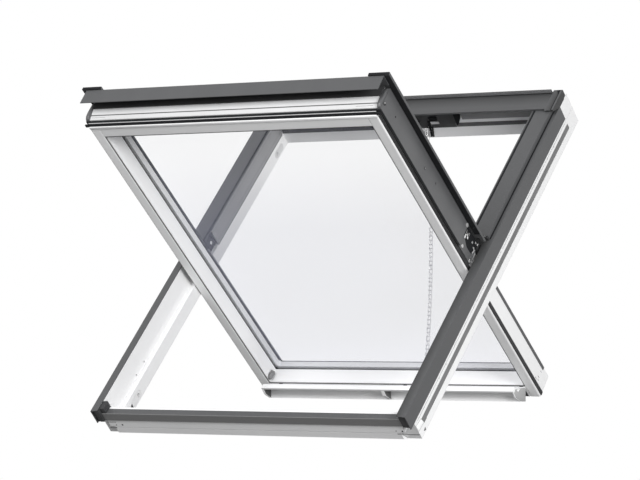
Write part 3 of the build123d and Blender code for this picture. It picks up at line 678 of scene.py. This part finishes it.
# Lines round the glass, and the seals and slots of the sash's stiles
LINING_SLOPE = (12.4, 405.0)
SLOT_SIDE = (356.3, 356.75)
STILE_SLOTS = [
    ((389.0, 397.0), (-57.4, -56.4)),
    ((396.0, 403.5), (-48.0, -47.0)),
    ((399.0, 404.5), (-32.4, -31.4)),
    ((399.5, 405.0), (-54.4, -53.5)),
]
settle(
    "sash_reveal_line",
    four_sided(half=332.2, slope=(-425.4, 401.2), level=(-74.0, -71.4), width=1.15),
    "sash",
    line_grey,
)
settle(
    "glazing_inner_line",
    four_sided(half=328.4, slope=(-421.6, 397.4), level=(-12.8, -11.85), width=1.5),
    "sash",
    seal_black,
)
settle(
    "upper_cover_edge_linings",
    both_sides(
        joined(
            bar(across=(326.2, 331.0), slope=LINING_SLOPE, level=(-7.68, -7.44), edge=0.05, steps=1),
            bar(across=(325.6, 326.0), slope=LINING_SLOPE, level=(-7.6, -6.1), edge=0.08, steps=1),
        )
    ),
    "sash",
    pale_line,
)
settle(
    "sash_gasket_lips",
    both_sides(bar(across=(SASH_SIDE, 358.2), slope=(-51.0, 434.2), level=(-66.0, -62.2), edge=0.4)),
    "sash",
    drive_grey,
)
settle(
    "sash_stile_slots",
    joined(*[bar(SLOT_SIDE, slope, level, edge=0.15, steps=1) for slope, level in STILE_SLOTS]),
    "sash",
    line_grey,
)

# Pivot hinges
HINGE_SHADOW = [
    (-49.0, -27.5),
    (-36.0, -36.5),
    (-22.0, -43.5),
    (-6.0, -43.5),
    (6.0, -37.5),
    (9.0, -24.0),
    (7.0, -9.0),
    (-13.0, -5.0),
    (-38.0, -1.5),
    (-49.0, -5.0),
]
TAIL_PLATE = [
    (6.5, -26.0),
    (27.0, -22.0),
    (31.0, -15.5),
    (30.0, -12.7),
    (9.3, -12.7),
    (9.3, -2.0),
    (6.5, -1.0),
]
HEEL_PLATE = [(-24.0, -22.0), (-4.0, -26.0), (-2.0, -9.0), (-21.0, -8.2)]
SPRING_SIDE = (361.1, 361.9)
SPRING_ARMS = [
    ((-44.6, -39.6), (-35.5, -20.0)),
    ((-35.0, -30.0), (-29.5, -13.5)),
    ((-44.0, -30.5), (-25.0, -19.6)),
    ((-14.0, -8.8), (-23.6, -18.8)),
    ((-2.2, 4.0), (-14.8, -10.0)),
]
SPRING_HOOK = [(-4.0, -27.0), (0.0, -24.0), (8.0, -27.0), (4.5, -39.0), (1.5, -38.0), (3.5, -29.0)]
# Painted shadow: black plates in the hollow of the hinges, behind the springs
settle(
    "hinge_shadow_plates",
    both_sides(drawn(HINGE_SHADOW, ACROSS, (360.5, 361.2), edge=0.25, steps=1)),
    "sash",
    seal_black,
)
settle(
    "hinge_tail_plates",
    both_sides(drawn(TAIL_PLATE, ACROSS, (357.7, 360.4), edge=0.4)),
    "sash",
    hinge_dark,
)
settle(
    "hinge_heel_plates",
    both_sides(drawn(HEEL_PLATE, ACROSS, (362.3, 363.5), edge=0.3, steps=1)),
    "frame",
    hinge_dark,
)
settle(
    "hinge_springs",
    both_sides(
        joined(
            *[bar(SPRING_SIDE, slope, level, edge=0.3) for slope, level in SPRING_ARMS],
            drawn(SPRING_HOOK, ACROSS, (361.1, 361.8), edge=0.3),
        )
    ),
    "sash",
    spring_steel,
)
settle(
    "hinge_bosses",
    both_sides(
        joined(
            pin((365.6, -56.5, -12.5), ACROSS, radius=4.6, length=1.8),
            pin((361.0, 4.4, -59.0), ACROSS, radius=3.2, length=1.2),
        )
    ),
    "sash",
    fitting_grey,
)

# Control bar
BAR_PLATE = [
    (407.0, -110.6),
    (424.6, -96.6),
    (408.0, -77.0),
    (401.2, -77.0),
    (373.0, -104.8),
    (373.0, -115.4),
    (385.2, -117.8),
]
BAR_SHADOW_SPANS = [(-315.2, -314.5), (3.8, 4.5)]
BAR_NOTCH = [(375.5, -104.0), (387.5, -91.5), (385.0, -103.0)]
# Painted shadow: dark plates on the control bar's shaded inner brackets
settle(
    "control_bar_bracket_shadows",
    joined(*[drawn(BAR_PLATE, ACROSS, span, edge=0.25, steps=1) for span in BAR_SHADOW_SPANS]),
    "control_bar",
    bracket_shadow_grey,
)
settle(
    "control_bar_end_plate",
    drawn(BAR_PLATE, ACROSS, (330.8, 331.8), edge=0.4),
    "control_bar",
    cap_grey,
)
settle(
    "control_bar_end_notch",
    drawn(BAR_NOTCH, ACROSS, (331.6, 332.2), edge=0.25, steps=1),
    "control_bar",
    bar_white_painted_light,
)

# Knob of the barrel bolt: an oval that steps in towards a dished top
KNOB_RADII = (5.6, 12.6, 1.0)
KNOB_HEIGHT = 4.8
KNOB_STEPS = [(0.7, 1.1), (1.4, 0.5), (0.8, -0.6)]
KNOB_TILT = math.radians(-11.0)
KNOB_PLACE = (-331.3, 392.0, -57.0)


def top_of(mesh):
    """The highest face with more than four corners."""
    many_sided = [face for face in mesh.faces if len(face.verts) > 4]
    return max(many_sided, key=lambda face: face.calc_center_median().z)


knob = bmesh.new()
bmesh.ops.create_circle(knob, cap_ends=True, segments=40, radius=1.0)
bmesh.ops.scale(knob, vec=KNOB_RADII, verts=knob.verts[:])
knob.normal_update()
grow(knob, knob.faces[:], (0.0, 0.0, KNOB_HEIGHT))
for inset, rise in KNOB_STEPS:
    knob.normal_update()
    top = top_of(knob)
    bmesh.ops.inset_region(knob, faces=[top], thickness=inset, use_even_offset=True, use_boundary=True)
    bmesh.ops.translate(knob, verts=top.verts[:], vec=(0.0, 0.0, rise))
bmesh.ops.recalc_face_normals(knob, faces=knob.faces[:])
turned(knob, QUARTER_TURN, "X")
turned(knob, QUARTER_TURN, "Z")
turned(knob, KNOB_TILT, "X")
bmesh.ops.translate(knob, verts=knob.verts[:], vec=KNOB_PLACE)
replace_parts(settle("bolt_finger_knob", knob, "bolt", knob_grey), "bolt_knob")

# Top rail of the frame, with the drive's trim
DRIVE_WING = [(111.0, -30.0), (129.5, -30.0), (127.4, -39.0), (113.0, -61.0), (109.5, -61.0)]
DRIVE_BLOCK = [(44.4, -34.0), (67.0, -34.0), (63.5, -45.5), (45.5, -46.5)]
LONG_ARM = [(39.0, -46.0), (43.5, -46.0), (40.5, -66.0), (34.0, -92.0), (30.5, -92.0), (36.0, -66.0)]
TRIM_BACK = 438.3
SEAL_BACK = 438.4
SHORT_ARM = [(43.8, -64.0), (46.2, -64.0), (37.6, -92.5), (35.6, -92.5)]
settle(
    "top_rail_seal",
    both_sides(
        bar(across=(106.0, 357.5), slope=(437.55, SEAL_BACK), level=(-66.5, -55.0), edge=0.2, steps=1)
    ),
    "frame",
    line_grey,
)
settle(
    "top_rail_shade_strip",
    both_sides(
        bar(across=(129.0, 357.5), slope=(437.75, SEAL_BACK), level=(-46.0, -22.0), edge=0.15, steps=1)
    ),
    "frame",
    rail_shade,
)
settle(
    "drive_trim",
    joined(
        both_sides(drawn(DRIVE_WING, SLOPE, (436.9, TRIM_BACK), edge=0.3, steps=1)),
        drawn(DRIVE_BLOCK, SLOPE, (436.2, TRIM_BACK), edge=0.4),
        drawn(LONG_ARM, SLOPE, (435.0, TRIM_BACK), edge=0.3),
        drawn(SHORT_ARM, SLOPE, (435.6, TRIM_BACK), edge=0.3),
        pin((15.0, 437.6, -48.0), SLOPE, radius=3.4, length=2.0),
    ),
    "frame",
    seal_black,
)

# Covers and casing of the frame
COVER_BEAD = [(339.3, -2.4), (344.3, -2.4), (344.1, -1.3), (341.8, -0.8), (339.5, -1.3)]
CASING_FOLD = [(457.7, 12.4), (454.2, 6.2), (455.0, 5.0), (457.7, 4.4)]
VALLEY_CORNER = [(377.0, 465.8), (383.6, 465.8), (383.6, 450.0)]
VALLEY_LEVEL = (3.2, 3.55)
COVER_PLUG_SLOPE = (6.0, 10.3)
settle(
    "upper_cover_beads",
    both_sides(drawn(COVER_BEAD, SLOPE, (10.4, 429.0), edge=0.2, steps=1)),
    "frame",
    seal_black,
)
# Painted shade: black strips in the creases of the upper covers
settle(
    "upper_cover_creases",
    both_sides(bar(across=(381.0, 383.6), slope=(11.0, 428.0), level=(-13.4, -10.8), edge=0.5)),
    "frame",
    seal_black,
)
# Its lighter grey is painted light on the casing's fold
settle(
    "casing_fold",
    drawn(CASING_FOLD, ACROSS, (-367.4, 367.4), edge=0.3, steps=1),
    "frame",
    fold_grey_painted_light,
)
# Painted shade: black strips in the valleys of the casing's end caps
settle(
    "casing_cap_valleys",
    both_sides(
        joined(
            bar(across=(383.4, 386.4), slope=(400.5, 465.5), level=VALLEY_LEVEL),
            drawn(VALLEY_CORNER, OUTWARDS, VALLEY_LEVEL),
        )
    ),
    "frame",
    seal_black,
)
settle(
    "casing_cap_flanges",
    both_sides(bar(across=(386.2, 389.9), slope=(400.0, 464.0), level=(3.1, 4.9), edge=0.5)),
    "frame",
    cover_grey,
)
settle(
    "upper_cover_plugs",
    both_sides(
        joined(
            bar(across=(337.0, 355.4), slope=COVER_PLUG_SLOPE, level=(-6.8, -3.0), edge=0.5),
            bar(across=(363.6, 380.8), slope=COVER_PLUG_SLOPE, level=(-12.4, -3.0), edge=0.5),
        )
    ),
    "frame",
    hinge_dark,
)

# Reveals of the frame
LEFT_BOOT_TOE = [(-474.5, -46.0), (-470.0, -46.0), (-466.5, -31.0), (-466.0, -19.0), (-474.5, -12.4)]
RIGHT_BOOT = [(-495.5, -44.0), (-473.2, -42.0), (-473.2, -33.0), (-495.5, -30.0)]
RIB_SIDE = (358.24, 358.6)
RIB_SLOPE = (64.5, 433.0)
RIB_LEVELS = [(-66.0, -64.4), (-57.6, -56.4), (-32.0, -31.0)]
REVEAL_STOP = [(-416.0, -79.5), (-427.0, -82.3), (-418.0, -92.0)]
settle(
    "reveal_corner_boots",
    joined(
        bar(across=(-370.0, -357.9), slope=(-496.0, -473.2), level=(-46.0, -12.0), edge=1.0),
        drawn(LEFT_BOOT_TOE, ACROSS, (-370.0, -365.4), edge=0.8),
        bar(across=(-380.0, -369.0), slope=(-502.2, -492.0), level=(-46.5, -14.0), edge=1.0),
        drawn(RIGHT_BOOT, ACROSS, (357.9, 370.0), edge=1.0),
    ),
    "frame",
    hinge_dark,
)
settle(
    "reveal_side_profiles",
    both_sides(bar(across=(358.3, 358.8), slope=(64.0, 433.5), level=(-67.5, -13.2), edge=0.15, steps=1)),
    "frame",
    reveal_profile_grey,
)
settle(
    "reveal_profile_ribs",
    both_sides(joined(*[bar(RIB_SIDE, RIB_SLOPE, level, edge=0.1, steps=1) for level in RIB_LEVELS])),
    "frame",
    strip_grey,
)
settle(
    "reveal_stop",
    drawn(REVEAL_STOP, ACROSS, (-358.9, -358.3), edge=0.15, steps=1),
    "frame",
    hinge_dark,
)

# Lower end of the frame
COVER_END_PLUG = [(371.0, -17.8), (388.2, -15.4), (388.2, -48.5), (371.0, -46.0)]
RAIL_END_SHADE = [(-495.2, -71.9), (-484.0, -95.2), (-463.0, -95.2), (-463.0, -71.9)]
RAIL_FACE = (-495.95, -495.4)
RAIL_GROOVES = [
    ((346.0, 369.7), RAIL_FACE, (-71.4, -69.6)),
    ((-369.7, -352.0), RAIL_FACE, (-71.4, -69.6)),
    ((-369.7, -346.0), RAIL_FACE, (-53.8, -52.6)),
    ((359.0, 387.6), (-483.95, -483.4), (-85.4, -83.8)),
]
# Screws of the bottom rail, by radius and length
SCREW_FACE = -495.7
SCREW_HEAD = (1.9, 1.2)
SCREW_DOT = (1.2, 1.0)
RAIL_SCREWS = [
    (-333.0, -61.2, SCREW_HEAD),
    (-349.0, -61.6, SCREW_DOT),
    (361.0, -62.3, SCREW_HEAD),
    (346.5, -61.6, SCREW_DOT),
]
# Strips, plugs and marks at the stiles' lower ends
STRIP_END = [(-441.0, -65.6), (-459.4, -65.6), (-455.8, -79.2), (-441.0, -79.2)]
PLUG_JOINT = [(-458.2, -63.4), (-454.4, -78.0), (-483.2, -76.6), (-483.2, -60.6)]
END_PLUG = [(-459.2, -64.2), (-455.5, -77.0), (-483.0, -75.6), (-483.0, -61.4)]
END_MARK = [(-468.0, -89.9), (-460.6, -94.6), (-458.2, -87.4)]
settle(
    "cover_end_plugs",
    both_sides(drawn(COVER_END_PLUG, SLOPE, (-500.0, -486.0), edge=0.5)),
    "frame",
    hinge_dark,
)
settle(
    "stile_side_lines",
    both_sides(bar(across=(387.6, 388.25), slope=(-470.0, 428.0), level=(-57.8, -56.9), edge=0.1, steps=1)),
    "frame",
    pale_line,
)
# Painted shade: grey plates over the shaded ends of the bottom rail
settle(
    "bottom_rail_end_shades",
    both_sides(drawn(RAIL_END_SHADE, ACROSS, (355.05, 355.7))),
    "frame",
    pale_line,
)
settle(
    "bottom_rail_ends",
    both_sides(bar(across=(355.1, 358.4), slope=(-483.5, -465.0), level=(-95.4, -71.7), edge=0.4, steps=1)),
    "frame",
    white_lacquer,
)
settle(
    "bottom_rail_grooves",
    joined(*[bar(*groove, edge=0.15, steps=1) for groove in RAIL_GROOVES]),
    "frame",
    line_grey,
)
settle(
    "side_strip_ends",
    both_sides(drawn(STRIP_END, ACROSS, (387.7, 388.3))),
    "frame",
    strip_grey,
)
settle(
    "stile_end_plug_joints",
    both_sides(drawn(PLUG_JOINT, ACROSS, (387.7, 388.2))),
    "frame",
    pale_line,
)
settle(
    "stile_end_plugs",
    both_sides(drawn(END_PLUG, ACROSS, (387.8, 388.6), edge=0.3)),
    "frame",
    stile_white_painted_light,
)
settle(
    "stile_end_marks",
    both_sides(drawn(END_MARK, ACROSS, (387.8, 388.4), edge=0.15, steps=1)),
    "frame",
    line_grey,
)
settle(
    "bottom_rail_screws",
    joined(*[pin((x, SCREW_FACE, z), SLOPE, *size) for x, z, size in RAIL_SCREWS]),
    "frame",
    hinge_dark,
)

# Top cover of the sash, a little shorter than the lips beside it
LIP_HALF = 338.0
SHEET_HALF = 353.0
HIGH_LIP = [(412.0, -7.4), (407.5, -7.4), (407.5, -6.0), (413.0, -6.0)]
LOW_SHEET = [(436.1, -16.5), (436.1, -24.4), (435.3, -24.4), (435.3, -17.5), (412.0, -17.5)]
top_sheet = joined(
    drawn(HIGH_LIP + [(413.0, -16.5)] + LOW_SHEET, ACROSS, (-LIP_HALF, LIP_HALF)),
    both_sides(drawn([(412.0, -16.5)] + LOW_SHEET, ACROSS, (LIP_HALF, SHEET_HALF))),
)
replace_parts(settle("sash_top_cover_sheet", top_sheet, "sash", cover_grey), "sash_top_cover")

# Push chain between the drive and the sash, drawn as it hangs in the open window
CHAIN_TOP = Vector((26.0, 360.27, 264.5))
CHAIN_END = Vector((41.5, 326.2, -301.2))
CHAIN_BOW = Vector((8.0, 9.0, 0.0))
LINKS = 60
LINK_PLATE = [
    (-1.5, -6.2),
    (1.5, -6.2),
    (2.7, -4.7),
    (1.8, 0.0),
    (2.7, 4.7),
    (1.5, 6.2),
    (-1.5, 6.2),
    (-2.7, 4.7),
    (-1.8, 0.0),
    (-2.7, -4.7),
]
LINK_WALL = 0.9
LINK_PIN = (0.0, 0.0, 4.7)
INNER_LINK, OUTER_LINK = 1.9, 2.9


def chain_point(share):
    return CHAIN_TOP.lerp(CHAIN_END, share) + CHAIN_BOW * (4.0 * share * (1.0 - share))


links = []
for number in range(LINKS):
    high = chain_point(number / LINKS)
    low = chain_point((number + 1) / LINKS)
    inner = INNER_LINK if number % 2 else OUTER_LINK
    plates = both_sides(drawn(LINK_PLATE, ACROSS, (inner, inner + LINK_WALL)))
    link = joined(plates, pin(LINK_PIN, ACROSS, radius=1.6, length=7.4, sides=10))
    along = high - low
    turned(link, math.atan2(-along.y, along.z), "X")
    bmesh.ops.translate(link, verts=link.verts[:], vec=(high + low) / 2.0)
    links.append(link)
chain = settle("push_chain_links", joined(*links), "frame", chain_steel, 0.0)
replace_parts(chain, "push_chain")
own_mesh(chain)

# Floor well below the window, which its roof holds up
FLOOR_RADIUS = 5.0
FLOOR_DROP = (0.0, 0.0, -1.0)
SHOWN_SHARE = 0.42
CLOUD_SHARE = 0.06
floor_mesh = bmesh.new()
bmesh.ops.create_circle(floor_mesh, cap_ends=True, segments=96, radius=FLOOR_RADIUS)
bmesh.ops.translate(floor_mesh, verts=floor_mesh.verts, vec=FLOOR_DROP)
floor_data = bpy.data.meshes.new("floor")
floor_mesh.to_mesh(floor_data)
floor_mesh.free()
floor = bpy.data.objects.new("floor", floor_data)
scene.collection.objects.link(floor)
floor_finish, floor_shader, floor_start, floor_place = new_finish("pale_floor")
floor_cloud = floor_start.noise(floor_place, scale=1.5, detail=3.0)
floor_tone = floor_start.shown() * SHOWN_SHARE + floor_cloud * CLOUD_SHARE
wire(
    floor_shader,
    Base_Color=floor_tone.tint(grey(0.18), grey(1.0)),
    Roughness=floor_cloud.around(0.7, swing=0.1),
)
floor_data.materials.append(floor_finish)

# White surround, a little dimmer as a light than as a background
WHITE = (1.0, 1.0, 1.0, 1.0)
world = bpy.data.worlds.new("studio")
world.use_nodes = True
scene.world = world
air = Mark(world.node_tree)
world.node_tree.nodes.clear()
light = air.node("ShaderNodeBackground", {}, {"Color": WHITE, "Strength": 0.19})
backdrop = air.node("ShaderNodeBackground", {}, {"Color": WHITE, "Strength": 1.0})
both = air.node("ShaderNodeMixShader", {}, {0: air.shown(), 1: light, 2: backdrop})
out = world.node_tree.nodes.new("ShaderNodeOutputWorld")
world.node_tree.links.new(both.socket, out.inputs["Surface"])


def soft_lamp(name, place, size, watts):
    """A round lamp that looks at the middle of the window."""
    data = bpy.data.lights.new(name, "AREA")
    data.shape = "DISK"
    data.size = size
    data.energy = watts
    lamp = bpy.data.objects.new(name, data)
    lamp.location = place
    aim = Vector(ORIGIN) - Vector(place)
    lamp.rotation_euler = aim.to_track_quat("-Z", "Y").to_euler()
    scene.collection.objects.link(lamp)


soft_lamp("side_lamp", place=(4.9, -2.8, 1.1), size=2.6, watts=296.0)
soft_lamp("front_lamp", place=(-0.6, -4.9, 2.8), size=2.8, watts=222.0)

# Camera at the photo's place
CAMERA_PLACE = (3.5490, -5.62905, -0.1770)
CAMERA_TILT = math.radians(90.0 + 1.542)
CAMERA_TURN = math.radians(32.449)
CAMERA_LENS = 173.43
SENSOR_WIDTH = 36.0
camera_data = bpy.data.cameras.new("camera")
camera_data.sensor_fit = "HORIZONTAL"
camera_data.sensor_width = SENSOR_WIDTH
camera_data.lens = CAMERA_LENS
camera = bpy.data.objects.new("camera", camera_data)
camera.location = CAMERA_PLACE
camera.rotation_euler = (CAMERA_TILT, 0.0, CAMERA_TURN)
scene.collection.objects.link(camera)
scene.camera = camera
